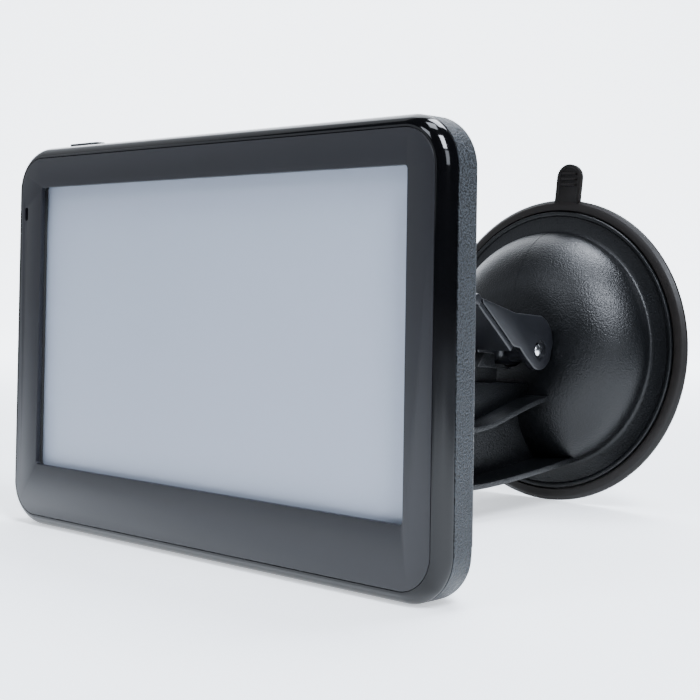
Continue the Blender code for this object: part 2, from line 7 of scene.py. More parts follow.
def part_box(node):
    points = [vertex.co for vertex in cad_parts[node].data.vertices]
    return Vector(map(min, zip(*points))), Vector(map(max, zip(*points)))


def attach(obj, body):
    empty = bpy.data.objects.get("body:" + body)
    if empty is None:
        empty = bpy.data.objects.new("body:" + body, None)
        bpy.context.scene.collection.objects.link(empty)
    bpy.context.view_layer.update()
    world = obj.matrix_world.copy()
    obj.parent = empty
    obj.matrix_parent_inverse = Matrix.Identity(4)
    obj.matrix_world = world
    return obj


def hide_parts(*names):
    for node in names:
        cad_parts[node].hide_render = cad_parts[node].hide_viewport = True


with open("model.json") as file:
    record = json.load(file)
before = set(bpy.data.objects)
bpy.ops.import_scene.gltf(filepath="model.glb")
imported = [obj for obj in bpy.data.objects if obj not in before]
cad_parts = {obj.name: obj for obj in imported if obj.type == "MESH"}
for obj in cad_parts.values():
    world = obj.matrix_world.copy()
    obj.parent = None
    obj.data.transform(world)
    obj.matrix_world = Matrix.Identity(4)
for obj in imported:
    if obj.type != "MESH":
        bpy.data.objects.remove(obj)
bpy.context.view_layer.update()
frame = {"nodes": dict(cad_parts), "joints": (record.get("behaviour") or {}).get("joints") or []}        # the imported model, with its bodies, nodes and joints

mm = 0.001


# places that the frame gives

def jointPlace(name):
    joint = next(j for j in frame["joints"] if j["name"] == name)
    return Vector(joint["pos_m"])


def jointAxis(name):
    joint = next(j for j in frame["joints"] if j["name"] == name)
    return Vector(joint["axis"]).normalized()


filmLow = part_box("front_fascia")[0]
rimLow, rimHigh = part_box("front_frame")
rimMiddle = (rimLow + rimHigh) / 2
unitPlace = Vector((rimMiddle.x, filmLow.y, rimMiddle.z))
ballPlace = jointPlace("ball_pan")
pinPlace = jointPlace("lever_flip")
cupAxis = jointAxis("plunger_pull")                      # out of the cup, towards the display
cupTilt = math.atan2(-cupAxis.y, cupAxis.z)              # turn about X that lays the cup's axis down
pinOffset = Vector((0, -1.15, 24.2)) * mm                # the pin, in the cup's own directions
cupTurn = Matrix.Rotation(cupTilt, 3, "X")
cupPlace = pinPlace - cupTurn @ pinOffset


# modelling helpers

def deselectAll():
    if bpy.context.object and bpy.context.object.mode != "OBJECT":
        bpy.ops.object.mode_set(mode="OBJECT")
    bpy.ops.object.select_all(action="DESELECT")


def makeActive(piece):
    deselectAll()
    piece.select_set(True)
    bpy.context.view_layer.objects.active = piece


def editPiece(piece, kind="FACE"):
    makeActive(piece)
    bpy.ops.object.mode_set(mode="EDIT")
    bpy.ops.mesh.select_mode(type=kind)
    bpy.ops.mesh.select_all(action="DESELECT")


def pickFaces(piece, test):                              # leaves the piece in edit mode
    editPiece(piece, "FACE")
    bpy.ops.object.mode_set(mode="OBJECT")
    for face in piece.data.polygons:
        face.select = test(face.center / mm, face.normal)
    bpy.ops.object.mode_set(mode="EDIT")


def pickEdges(piece, test):                              # test gets both ends in millimetres
    editPiece(piece, "EDGE")
    bpy.ops.object.mode_set(mode="OBJECT")
    points = [v.co / mm for v in piece.data.vertices]
    for edge in piece.data.edges:
        a, b = edge.vertices
        edge.select = test(points[a], points[b])
    bpy.ops.object.mode_set(mode="EDIT")


def leaveEdit():
    bpy.ops.object.mode_set(mode="OBJECT")


def applyModifier(piece, kind, **settings):
    makeActive(piece)
    modifier = piece.modifiers.new(kind.lower(), kind)
    for key, value in settings.items():
        setattr(modifier, key, value)
    bpy.ops.object.modifier_apply(modifier=modifier.name)


def roundEdges(piece, width, segments=3, angle=30):
    applyModifier(piece, "BEVEL", width=width * mm, segments=segments, limit_method="ANGLE",
                  angle_limit=math.radians(angle), harden_normals=False)


def combine(piece, other, operation):                    # the other piece is used up
    applyModifier(piece, "BOOLEAN", operation=operation, object=other, solver="EXACT")
    bpy.data.objects.remove(other, do_unlink=True)


def carve(piece, cutter):                                # takes the cutter's shape away
    combine(piece, cutter, "DIFFERENCE")


def fuse(piece, other):                                  # adds the other piece's shape
    combine(piece, other, "UNION")


def extrudeBy(x, y, z):                                  # pushes the selected faces out, in millimetres
    bpy.ops.mesh.extrude_region_move(TRANSFORM_OT_translate={"value": (x * mm, y * mm, z * mm)})


def insetFace(thickness, depth):
    bpy.ops.mesh.inset(thickness=thickness * mm, depth=depth * mm, use_even_offset=True)


def joinPieces(pieces):
    deselectAll()
    for piece in pieces:
        piece.select_set(True)
    bpy.context.view_layer.objects.active = pieces[0]
    bpy.ops.object.join()
    return pieces[0]


def cleanMesh(piece):
    editPiece(piece)
    bpy.ops.mesh.select_all(action="SELECT")
    bpy.ops.mesh.remove_doubles(threshold=1e-6)
    bpy.ops.mesh.normals_make_consistent(inside=False)
    leaveEdit()


def slab(name, low, high, radius=0.0, axis="y", segments=14):
    # a block whose four edges along one axis are rounded; sizes in millimetres
    low, high = Vector(low) * mm, Vector(high) * mm
    deselectAll()
    bpy.ops.mesh.primitive_cube_add(size=1, location=(low + high) / 2)
    piece = bpy.context.object
    piece.name = piece.data.name = name
    piece.scale = high - low
    bpy.ops.object.transform_apply(location=True, rotation=True, scale=True)
    if radius:
        index = "xyz".index(axis)
        others = [i for i in range(3) if i != index]
        pickEdges(piece, lambda a, b: all(abs(a[i] - b[i]) < 1e-4 for i in others))
        bpy.ops.mesh.bevel(offset=radius * mm, segments=segments, affect="EDGES")
        leaveEdit()
    return piece


def rod(name, radius, low, high, axis="y", place=(0, 0), steps=48):
    # a cylinder along one axis, between two heights, at a place across it
    index = "xyz".index(axis)
    centre = [0, 0, 0]
    centre[index] = (low + high) / 2
    others = [i for i in range(3) if i != index]
    for i, value in zip(others, place):
        centre[i] = value
    turn = {"x": (0, math.pi / 2, 0), "y": (math.pi / 2, 0, 0), "z": (0, 0, 0)}[axis]
    deselectAll()
    bpy.ops.mesh.primitive_cylinder_add(vertices=steps, radius=radius * mm, depth=(high - low) * mm,
                                        location=Vector(centre) * mm, rotation=turn)
    piece = bpy.context.object
    piece.name = piece.data.name = name
    bpy.ops.object.transform_apply(location=True, rotation=True, scale=True)
    return piece


def tracePath(name, points):                             # a chain of edges through points in millimetres
    points = [Vector(p) * mm for p in points]
    deselectAll()
    bpy.ops.mesh.primitive_plane_add(size=mm, location=(0, 0, 0))
    piece = bpy.context.object
    piece.name = piece.data.name = name
    bpy.ops.object.mode_set(mode="EDIT")
    bpy.ops.mesh.select_mode(type="VERT")
    bpy.ops.mesh.select_all(action="SELECT")
    bpy.ops.mesh.merge(type="CENTER")
    bpy.ops.transform.translate(value=points[0])
    for start, end in zip(points, points[1:]):
        bpy.ops.mesh.extrude_region_move(TRANSFORM_OT_translate={"value": end - start})
    return piece


def turnProfile(name, profile, steps, axis):             # spins (radius, height) points right round
    direction = {"z": (0, 0, 1), "y": (0, 1, 0), "x": (1, 0, 0)}[axis]
    if axis == "z":
        points = [(r, 0, h) for r, h in profile]
    elif axis == "y":
        points = [(r, h, 0) for r, h in profile]
    else:
        points = [(h, r, 0) for r, h in profile]
    piece = tracePath(name, points)
    bpy.ops.mesh.select_all(action="SELECT")
    bpy.ops.mesh.spin(steps=steps, angle=2 * math.pi, center=(0, 0, 0), axis=direction)
    leaveEdit()
    cleanMesh(piece)
    return piece


def sweepOutline(name, outline, low, high, axis="x"):
    # fills a (y, z) outline and extrudes it along x, or an (x, y) outline along z
    if axis == "x":
        points = [(low, y, z) for y, z in outline]
        reach = (high - low, 0, 0)
    else:
        points = [(x, y, low) for x, y in outline]
        reach = (0, 0, high - low)
    piece = tracePath(name, points)
    leaveEdit()
    last = len(outline) - 1
    for vertex in piece.data.vertices:
        vertex.select = vertex.index in (0, last)
    bpy.ops.object.mode_set(mode="EDIT")
    bpy.ops.mesh.edge_face_add()
    bpy.ops.mesh.select_all(action="SELECT")
    bpy.ops.mesh.edge_face_add()
    extrudeBy(*reach)
    leaveEdit()
    cleanMesh(piece)
    return piece


def arcPoints(radius, start, end, steps, x=0.0, y=0.0):  # angles in degrees
    points = []
    for step in range(steps + 1):
        angle = math.radians(start + (end - start) * step / steps)
        points.append((x + radius * math.cos(angle), y + radius * math.sin(angle)))
    return points


def curvePoints(a, b, c, d, steps):                      # a cubic curve through a and d
    points = []
    for step in range(steps + 1):
        t = step / steps
        weights = ((1 - t) ** 3, 3 * (1 - t) ** 2 * t, 3 * (1 - t) * t * t, t ** 3)
        points.append(tuple(sum(w * p[i] for w, p in zip(weights, (a, b, c, d))) for i in range(2)))
    return points


def setPlace(piece, place, tilt=0.0):                    # moves a finished piece to its place for good
    makeActive(piece)
    piece.rotation_euler = (tilt, 0, 0)
    piece.location = place
    bpy.ops.object.transform_apply(location=True, rotation=True, scale=True)


def finishPiece(piece, material, body, nodes, angle=35):
    makeActive(piece)
    bpy.ops.object.shade_smooth_by_angle(angle=math.radians(angle))
    piece.data.materials.clear()
    piece.data.materials.append(material)
    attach(piece, body)
    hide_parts(*nodes)


# materials

def linear(hexColour):                                   # sRGB hex to linear red, green, blue, alpha
    values = [int(hexColour[i:i + 2], 16) / 255 for i in (1, 3, 5)]
    return (*[v / 12.92 if v <= 0.04045 else ((v + 0.055) / 1.055) ** 2.4 for v in values], 1.0)


def addNode(tree, kind, settings=None, links=None):      # links: socket name or number to an output socket
    node = tree.nodes.new(kind)
    for key, value in (settings or {}).items():
        if isinstance(key, int) or key in node.inputs:
            node.inputs[key].default_value = value
        else:
            setattr(node, key, value)
    for key, output in (links or {}).items():
        tree.links.new(output, node.inputs[key])
    return node


def perMillimetre(size):                                 # texture scale whose features are about this size
    return 1.0 / (size * mm)


def newMaterial(name, **settings):
    material = bpy.data.materials.new(name)
    material.use_nodes = True
    shader = material.node_tree.nodes["Principled BSDF"]
    for key, value in settings.items():
        shader.inputs[key].default_value = value
    return material, material.node_tree, shader


def objectPoint(tree):
    return addNode(tree, "ShaderNodeTexCoord").outputs["Object"]


def mixColours(tree, shader, factor, first, second):     # blends two hex colours by a factor socket
    mix = addNode(tree, "ShaderNodeMix", {"data_type": "RGBA"}, {"Factor": factor})
    for name, hexColour in (("A", first), ("B", second)):
        socket = next(s for s in mix.inputs if s.type == "RGBA" and s.name == name)
        socket.default_value = linear(hexColour)
    colour = next(s for s in mix.outputs if s.type == "RGBA")
    tree.links.new(colour, shader.inputs["Base Color"])


def varyRoughness(tree, shader, source, low, high):
    spread = addNode(tree, "ShaderNodeMapRange", {"To Min": low, "To Max": high}, {"Value": source})
    tree.links.new(spread.outputs["Result"], shader.inputs["Roughness"])


def addBump(tree, shader, source, distance, strength):   # distance in millimetres
    bump = addNode(tree, "ShaderNodeBump", {"Strength": strength, "Distance": distance * mm},
                   {"Height": source})
    tree.links.new(bump.outputs["Normal"], shader.inputs["Normal"])


def noise(tree, point, size, detail, roughness=0.5):     # size in millimetres
    node = addNode(tree, "ShaderNodeTexNoise",
                   {"Scale": perMillimetre(size), "Detail": detail, "Roughness": roughness},
                   {"Vector": point})
    return node.outputs["Fac"]


def makePianoBlack():
    # high-gloss moulded ABS: deep black, sharp reflections, a trace of handling haze
    material, tree, shader = newMaterial("pianoBlackAbs", IOR=1.54)
    shader.inputs["Specular IOR Level"].default_value = 0.26
    point = objectPoint(tree)
    haze = noise(tree, point, 14, 3)
    varyRoughness(tree, shader, haze, 0.05, 0.12)
    mixColours(tree, shader, haze, "#020203", "#050506")
    addBump(tree, shader, noise(tree, point, 3.5, 1), 0.004, 0.3)
    return material


def makeHardcoatFilm():
    # matte hard-coated acrylic film printed charcoal behind: soft wide sheen, very fine tooth
    material, tree, shader = newMaterial("hardcoatAcrylicFilm", IOR=1.49)
    shader.inputs["Specular IOR Level"].default_value = 0.42
    point = objectPoint(tree)
    cloud = noise(tree, point, 22, 2)
    mixColours(tree, shader, cloud, "#0c0c10", "#101015")
    varyRoughness(tree, shader, cloud, 0.36, 0.44)
    addBump(tree, shader, noise(tree, point, 0.35, 1), 0.004, 0.25)   # tooth drawn coarser than real
    return material


def makeTouchFilm():
    # resistive touch film over a switched-off panel with a pale cover sheet: milky blue-grey
    material, tree, shader = newMaterial("antiGlareTouchFilm", IOR=1.45)
    point = objectPoint(tree)
    cloud = noise(tree, point, 60, 1)
    mixColours(tree, shader, cloud, "#949ba8", "#989fac")
    varyRoughness(tree, shader, cloud, 0.32, 0.38)
    shader.inputs["Specular IOR Level"].default_value = 0.35
    return material


def makeSparkGrain():
    # ABS moulded in a spark-eroded tool: pebbled grain, with painted sparkle: its raised specks painted
    # lighter as highlights
    material, tree, shader = newMaterial("sparkErodedAbs", IOR=1.52)
    shader.inputs["Specular IOR Level"].default_value = 0.3
    point = objectPoint(tree)
    pebbles = addNode(tree, "ShaderNodeTexVoronoi", {"Scale": perMillimetre(0.55)}, {"Vector": point})
    cloudy = noise(tree, point, 0.36, 2)
    spread = addNode(tree, "ShaderNodeMapRange", {"From Min": 0.42, "From Max": 0.62}, {"Value": cloudy})
    grainWithPaintedSparkle = spread.outputs["Result"]
    # painted highlights: the raised specks of the grain lighter, the rest darker
    mixColours(tree, shader, grainWithPaintedSparkle, "#060708", "#31363b")
    varyRoughness(tree, shader, grainWithPaintedSparkle, 0.42, 0.68)
    height = addNode(tree, "ShaderNodeMath", {"operation": "ADD"},
                     {0: pebbles.outputs["Distance"], 1: grainWithPaintedSparkle})
    addBump(tree, shader, height.outputs[0], 0.09, 0.7)
    return material


def makeBlastedAbs():
    # ABS moulded in a sand-blasted tool: satin black with a fine sparkle in the highlights
    material, tree, shader = newMaterial("sandBlastedAbs", IOR=1.52)
    shader.inputs["Specular IOR Level"].default_value = 0.28
    point = objectPoint(tree)
    grit = noise(tree, point, 0.45, 2, 0.6)               # grit drawn a little coarser than real
    cloud = noise(tree, point, 9, 2)
    mixColours(tree, shader, cloud, "#040506", "#08090b")
    varyRoughness(tree, shader, cloud, 0.3, 0.38)
    addBump(tree, shader, grit, 0.12, 1.0)
    return material


def makeSatinAbs():
    # plain moulded ABS with a stoned tool finish: dark, even satin
    material, tree, shader = newMaterial("satinMouldedAbs", IOR=1.5)
    point = objectPoint(tree)
    cloud = noise(tree, point, 5, 3)
    mixColours(tree, shader, cloud, "#0b0c0f", "#111216")
    varyRoughness(tree, shader, cloud, 0.3, 0.42)
    addBump(tree, shader, noise(tree, point, 0.3, 2), 0.015, 0.4)
    return material


def makeCupRubber():
    # soft PVC rubber: brownish black, dull with a faint bloom and dust
    material, tree, shader = newMaterial("softPvcRubber", IOR=1.52)
    shader.inputs["Specular IOR Level"].default_value = 0.2
    point = objectPoint(tree)
    dust = noise(tree, point, 1.2, 4, 0.65)
    mixColours(tree, shader, dust, "#060505", "#15110e")
    varyRoughness(tree, shader, dust, 0.36, 0.55)
    addBump(tree, shader, noise(tree, point, 0.5, 2), 0.02, 0.3)
    return material


def makePolishedSteel():
    # turned and polished steel pin: bright, with faint turning rings
    material, tree, shader = newMaterial("polishedSteel", Metallic=1.0)
    point = objectPoint(tree)
    rings = noise(tree, point, 0.2, 1)
    mixColours(tree, shader, rings, "#c9cacc", "#dedfe0")
    varyRoughness(tree, shader, rings, 0.12, 0.22)
    return material


def makeTinPlate():
    # tin-plated pressed sheet: grey, slightly mottled
    material, tree, shader = newMaterial("tinPlatedSheet", Metallic=1.0)
    point = objectPoint(tree)
    mottle = noise(tree, point, 2.5, 3)
    mixColours(tree, shader, mottle, "#a6a8ab", "#bfc0c2")
    varyRoughness(tree, shader, mottle, 0.25, 0.4)
    return material


def makeDarkSteel():
    # blackened machine screw: dark metal worn brighter in spots
    material, tree, shader = newMaterial("blackenedSteel", Metallic=1.0)
    point = objectPoint(tree)
    wear = noise(tree, point, 0.8, 3)
    mixColours(tree, shader, wear, "#3a3a3d", "#58585c")
    varyRoughness(tree, shader, wear, 0.3, 0.5)
    return material


def makeFoam():
    # closed-cell gasket foam: black, with painted shade in the pits of its cells
    material, tree, shader = newMaterial("closedCellFoam")
    point = objectPoint(tree)
    cells = addNode(tree, "ShaderNodeTexVoronoi", {"Scale": perMillimetre(0.4)}, {"Vector": point})
    # painted shade: the pits of the cells darker, from the same distance that sinks them in the bump
    mixColours(tree, shader, cells.outputs["Distance"], "#050505", "#101010")
    varyRoughness(tree, shader, cells.outputs["Distance"], 0.85, 0.95)
    addBump(tree, shader, cells.outputs["Distance"], 0.05, 0.6)
    return material


def makeInsidePaint(name, first, second, size, roughLow, roughHigh, metallic=0.0):
    # for parts inside the case: the given two tones, mottled at the given size
    material, tree, shader = newMaterial(name, Metallic=metallic)
    point = objectPoint(tree)
    mottle = noise(tree, point, size, 3)
    mixColours(tree, shader, mottle, first, second)
    varyRoughness(tree, shader, mottle, roughLow, roughHigh)
    return material


pianoBlack = makePianoBlack()
hardcoatFilm = makeHardcoatFilm()
touchFilm = makeTouchFilm()
sparkGrain = makeSparkGrain()
blastedAbs = makeBlastedAbs()
satinAbs = makeSatinAbs()
cupRubber = makeCupRubber()
polishedSteel = makePolishedSteel()
tinPlate = makeTinPlate()
darkSteel = makeDarkSteel()
gasketFoam = makeFoam()
solderMask = makeInsidePaint("solderMask", "#0d3d22", "#125231", 6, 0.35, 0.5)
batteryFoil = makeInsidePaint("batteryFoil", "#9a9ca0", "#b4b6b9", 4, 0.3, 0.5, 0.8)
ceramicPatch = makeInsidePaint("ceramicPatch", "#b8aa86", "#c9bb97", 1, 0.5, 0.65)
polyimideFilm = makeInsidePaint("polyimideFilm", "#a8651a", "#bd7826", 3, 0.3, 0.4)
naturalNylon = makeInsidePaint("naturalNylon", "#a5a59f", "#b5b5ae", 2, 0.5, 0.6)
print("materials made")


# the display unit, in millimetres from the middle of its front face: x right, y back, z up

unit = {"width": 131.0, "height": 87.4, "corner": 10.0, "faceDrop": 2.2, "rimDepth": 3.3,
        "landWidth": 0.3, "wallStart": 3.6, "wallEnd": 8.45, "depth": 14.0, "taper": 5.5,
        "wall": 1.8}
window = {"low": (-55.0, -29.4), "high": (56.5, 34.3), "corner": 0.8}
micSlot = {"x": -60.9, "z": 28.3, "width": 1.3, "height": 3.2}
screwSpot = {"x": 50.0, "z": -35.0}


def windowCutter(name, grow, near, far, corner):
    return slab(name, (window["low"][0] - grow, near, window["low"][1] - grow),
                (window["high"][0] + grow, far, window["high"][1] + grow), corner, "y", 6)


def micCutter(near, far):
    x, z, w, h = micSlot["x"], micSlot["z"], micSlot["width"] / 2, micSlot["height"] / 2
    return slab("micCutter", (x - w, near, z - h), (x + w, far, z + h), w * 0.98, "y", 6)


def makeGlossRim():
    rim = {"edge": 0.3, "steps": 12, "pocketDepth": 1.4, "seatGrow": 3.1, "seatCorner": 2.0,
           "bulge": 0.55}                                # bulge: between a flat chamfer and a round edge
    halfW, halfH = unit["width"] / 2, unit["height"] / 2
    start = unit["rimDepth"] - rim["edge"]
    piece = slab("glossRim", (-halfW, start, -halfH), (halfW, unit["rimDepth"], halfH),
                 unit["corner"], "y", 20)
    pickFaces(piece, lambda c, n: n.y < -0.9)
    drop, rise, bulge = unit["faceDrop"], start - 0.1, rim["bulge"]
    done = (0.0, 0.0)
    for step in range(1, rim["steps"] + 1):
        t = step / rim["steps"]
        angle = t * math.pi / 2
        inward = drop * ((1 - bulge) * t + bulge * (1 - math.cos(angle)))
        outward = rise * ((1 - bulge) * t + bulge * math.sin(angle))
        insetFace(inward - done[0], outward - done[1])
        done = (inward, outward)
    insetFace(unit["landWidth"], 0)
    extrudeBy(0, rim["pocketDepth"], 0)
    leaveEdit()
    carve(piece, windowCutter("seatCutter", rim["seatGrow"], 0, 5, rim["seatCorner"]))
    carve(piece, micCutter(-1, 5))
    setPlace(piece, unitPlace)
    finishPiece(piece, pianoBlack, "unit", ["front_frame"], 50)


def makeFascia():
    film = {"gap": 0.3, "thick": 1.2, "edge": 0.15, "corner": 7.3}
    halfW = unit["width"] / 2 - unit["faceDrop"] - unit["landWidth"] - film["gap"] / 2
    halfH = unit["height"] / 2 - unit["faceDrop"] - unit["landWidth"] - film["gap"] / 2
    piece = slab("fasciaFilm", (-halfW, 0, -halfH), (halfW, film["thick"], halfH), film["corner"], "y", 20)
    carve(piece, windowCutter("windowCutter", 0, -1, 3, window["corner"]))
    carve(piece, micCutter(-1, 3))
    roundEdges(piece, film["edge"], 3, 60)
    setPlace(piece, unitPlace)
    finishPiece(piece, hardcoatFilm, "unit", ["front_fascia"], 25)


def makeRearCase():
    case = {"innerTurn": 8.0, "innerTaper": 5.1, "backWall": 1.6, "edge": 0.8, "padHalf": 14.5,
            "padSkin": 1.6, "padAbove": 3.0, "padFoot": -38.0, "padSlope": 2.5, "grooveHalf": 12.0,
            "grooveLip": 10.0, "grooveDepth": 2.2, "grooveTop": 2.4, "grooveFoot": -50.0,
            "post": 2.9, "shankHole": 1.3, "headHole": 2.6}
    speaker = {"x": 36.0, "pitch": 3.0, "slots": 5, "half": 0.6, "low": -23.0, "high": -9.0}
    holes = [("buttonHole", (-51.5, 4.3, 40), (-39.9, 7.7, 46), 0.9, "z", 5),
             ("usbHole", (-68, 4.05, -24.15), (-62, 8.4, -15.85), 0.6, "x", 4),
             ("cardHole", (-68, 9.8, -6.2), (-58.2, 11.2, 6.2), 0.4, "x", 4),
             ("nailNotch", (64.7, 7.7, -38), (68, 10.6, -33), 0.6, "x", 4)]
    halfW, halfH, depth = unit["width"] / 2, unit["height"] / 2, unit["depth"]
    piece = slab("rearCase", (-halfW, unit["wallStart"], -halfH), (halfW, unit["wallEnd"], halfH),
                 unit["corner"], "y", 20)
    pickFaces(piece, lambda c, n: n.y > 0.9)
    soft = case["edge"]
    turnIn, taperIn = 0.10, 0.35                         # soft turn from the wall to the taper
    insetFace(turnIn, soft * 0.5)
    insetFace(taperIn, soft * 0.5)
    insetFace(unit["taper"] - turnIn - taperIn - soft, depth - unit["wallEnd"] - 2 * soft)
    for share in (0.55, 0.3, 0.15):                      # and from the taper to the back
        insetFace(soft * 0.6, soft * share)
    pickFaces(piece, lambda c, n: n.y < -0.9)
    insetFace(unit["wall"], 0)
    extrudeBy(0, case["innerTurn"] - unit["wallStart"], 0)
    insetFace(case["innerTaper"], -(depth - case["backWall"] - case["innerTurn"]))
    leaveEdit()

    grooveY = depth - case["grooveDepth"]
    padY = grooveY - case["padSkin"]
    padTop = case["grooveTop"] + case["padAbove"]
    pad = sweepOutline("railPad", [(padY, padTop), (depth - 1, padTop), (depth - 1, case["padFoot"]),
                                   (padY, case["padFoot"] - case["padSlope"])],
                       -case["padHalf"], case["padHalf"])
    fuse(piece, pad)
    groove = slab("railGroove", (-case["grooveHalf"], grooveY, case["grooveFoot"]),
                  (case["grooveHalf"], depth + 0.8, case["grooveTop"]))
    pickFaces(groove, lambda c, n: n.y > 0.9)
    bpy.ops.transform.resize(value=(case["grooveLip"] / case["grooveHalf"], 1, 1))
    leaveEdit()
    carve(piece, groove)
    for side in (-1, 1):
        spot = (side * screwSpot["x"], screwSpot["z"])
        fuse(piece, rod("post", case["post"], 9.6, 13.3, "y", spot, 32))
        carve(piece, rod("shankHole", case["shankHole"], 9, 13.1, "y", spot, 24))
        carve(piece, rod("headHole", case["headHole"], 12.95, 15, "y", spot, 32))
    for hole in holes:
        carve(piece, slab(*hole))
    for row in range(speaker["slots"]):
        x = speaker["x"] + (row - 2) * speaker["pitch"]
        carve(piece, slab("speakerSlot", (x - speaker["half"], 11, speaker["low"]),
                          (x + speaker["half"], 15, speaker["high"]), 0.58, "y", 5))
    setPlace(piece, unitPlace)
    finishPiece(piece, sparkGrain, "unit", ["rear_cover"], 30)


def makePowerButton():
    button = {"x": -45.7, "half": 5.5, "y": 6.0, "deep": 1.4, "foot": 40.8, "top": 44.5, "land": 0.12,
              "edge": 0.35}
    flange = {"half": 6.7, "deep": 1.9, "foot": 40.7, "top": 41.6, "corner": 0.5}
    x, y = button["x"], button["y"]
    piece = slab("powerKey", (x - button["half"], y - button["deep"], button["foot"]),
                 (x + button["half"], y + button["deep"], button["top"]), 1.2, "z", 8)
    pickFaces(piece, lambda c, n: n.z > 0.9)
    insetFace(button["land"], 0)                         # keeps the top flat under the rounded edge
    leaveEdit()
    roundEdges(piece, button["edge"], 4, 50)
    rest = slab("keyFlange", (x - flange["half"], y - flange["deep"], flange["foot"]),
                (x + flange["half"], y + flange["deep"], flange["top"]), flange["corner"], "z", 4)
    piece = joinPieces([piece, rest])
    setPlace(piece, unitPlace)
    finishPiece(piece, satinAbs, "button", ["power_button"])


def makeCaseScrews():
    screw = {"head": 2.2, "shank": 1.0, "slot": 0.35, "reach": 1.3, "slotFoot": 13.3}
    for number, side in ((1, -1), (2, 1)):
        profile = [(0, 4.8), (0.7, 4.8), (screw["shank"], 5.6), (screw["shank"], 13.2), (screw["head"], 13.2),
                   (screw["head"], 13.5), (1.9, 13.75), (1.2, 13.88), (0, 13.9)]
        piece = turnProfile(f"caseScrew{number}", profile, 40, "y")
        for x, z in ((screw["reach"], screw["slot"]), (screw["slot"], screw["reach"])):
            carve(piece, slab("crossSlot", (-x, screw["slotFoot"], -z), (x, 15, z)))
        setPlace(piece, unitPlace + Vector((side * screwSpot["x"], 0, screwSpot["z"])) * mm)
        finishPiece(piece, darkSteel, "unit", [f"case_screw_{number}"])


makeGlossRim()
makeFascia()
makeRearCase()
makePowerButton()
makeCaseScrews()
print("display unit made")


# the cradle and ball joint, in millimetres from the ball's centre: x right, y back, z up

ball = {"radius": 8.5, "socket": 10.1, "bore": 10.2, "collar": 15.5, "neck": 3.6, "caseBack": -15.0}


def ballBand(radius, start, end, steps):                 # degrees from the pole that faces the display
    points = []
    for step in range(steps + 1):
        angle = math.radians(start + (end - start) * step / steps)
        points.append((radius * math.sin(angle), -radius * math.cos(angle)))
    return points


def makeCradle():
    cradle = {"halfW": 20.0, "low": -22.0, "high": 22.0, "thick": 2.8, "corner": 6.0, "boss": 12.0,
              "bossEnd": -0.5, "tongueHalf": 11.3, "lipHalf": 9.58, "tongueLow": -16.0,
              "tongueHigh": 17.1, "tongueDeep": 1.9, "turns": 5, "pitch": 2.0, "threadDeep": 0.6}
    face = ball["caseBack"] + 0.4
    piece = slab("cradlePlate", (-cradle["halfW"], face, cradle["low"]),
                 (cradle["halfW"], face + cradle["thick"], cradle["high"]), cradle["corner"], "y", 12)
    roundEdges(piece, 0.7, 3, 50)
    tip = ball["caseBack"] - cradle["tongueDeep"]
    tongue = slab("tongue", (-cradle["tongueHalf"], tip, cradle["tongueLow"]),
                  (cradle["tongueHalf"], ball["caseBack"], cradle["tongueHigh"]))
    pickFaces(tongue, lambda c, n: n.y > 0.9)
    bpy.ops.transform.resize(value=(cradle["lipHalf"] / cradle["tongueHalf"], 1, 1))
    extrudeBy(0, 1.2, 0)
    leaveEdit()
    fuse(piece, tongue)
    radius, pitch = cradle["boss"], cradle["pitch"]
    root = radius - cradle["threadDeep"]
    profile = [(0, face + 2), (radius + 1.2, face + 2), (radius + 1.2, face + 2.9),
               (radius + 0.4, face + 3.2), (radius - 0.3, face + 3.7)]
    for turn in range(cradle["turns"]):                  # thread drawn as rings of its real pitch
        start = face + 4.2 + turn * pitch
        profile += [(root, start), (radius, start + 0.5 * pitch), (root, start + pitch * 0.98)]
    profile += [(radius - 0.8, cradle["bossEnd"])] + ballBand(ball["socket"], 88, 0, 18)
    fuse(piece, turnProfile("socketBoss", profile, 72, "y"))
    setPlace(piece, ballPlace)
    finishPiece(piece, satinAbs, "cradle", ["cradle"])


def makeCollar():
    collar = {"low": -10.0, "high": 6.2, "inside": 12.3, "shoulder": 1.9, "grips": 12, "grooveR": 1.9,
              "grooveOut": 1.0}
    radius, low, high, soft = ball["collar"], collar["low"], collar["high"], collar["shoulder"]
    profile = [(collar["inside"], low + 0.4), (collar["inside"], 0.36)] + ballBand(ball["bore"], 92, 120, 12)
    profile += [(9.2, 5.9), (10.0, high), (radius - soft, high)]
    profile += [(radius - soft + soft * math.sin(a), high - soft + soft * math.cos(a))
                for a in (i * math.pi / 12 for i in range(1, 7))]
    profile += [(radius, low + 1.4), (radius - 0.4, low + 0.5), (radius - 1.2, low), (12.8, low)]
    piece = turnProfile("lockCollar", profile + [profile[0]], 96, "y")
    for step in range(collar["grips"]):
        angle = 2 * math.pi * step / collar["grips"]
        reach = radius + collar["grooveOut"]
        place = (reach * math.cos(angle), reach * math.sin(angle))
        carve(piece, rod("grip", collar["grooveR"], low - 1, high + 1, "y", place, 24))
    setPlace(piece, ballPlace)
    finishPiece(piece, satinAbs, "collar", ["lock_collar"])


def makeBallStud():
    neckAngle = 180 - math.degrees(math.asin(ball["neck"] / ball["radius"]))
    stud = {"flange": 7.0, "shank": 3.0, "end": 20.5}
    neck, wide, shank, end = ball["neck"], stud["flange"], stud["shank"], stud["end"]
    profile = [(0, -ball["radius"])] + ballBand(ball["radius"], 0, neckAngle - 2, 40)[1:]
    profile += [(neck, 8.2), (neck, 10.2), (4.0, 10.7), (4.6, 11.0), (wide - 0.4, 11.0), (wide, 11.3),
                (wide, 12.8), (wide - 0.2, 13.0), (shank, 13.0), (shank, end), (0, end)]
    piece = turnProfile("ballStud", profile, 72, "y")
    setPlace(piece, ballPlace)
    finishPiece(piece, satinAbs, "base", ["ball_stud"])


makeCradle()
makeCollar()
makeBallStud()
print("ball joint made")


# the suction mount; dome and cup in millimetres from the cup's rim centre: x right, z towards the display

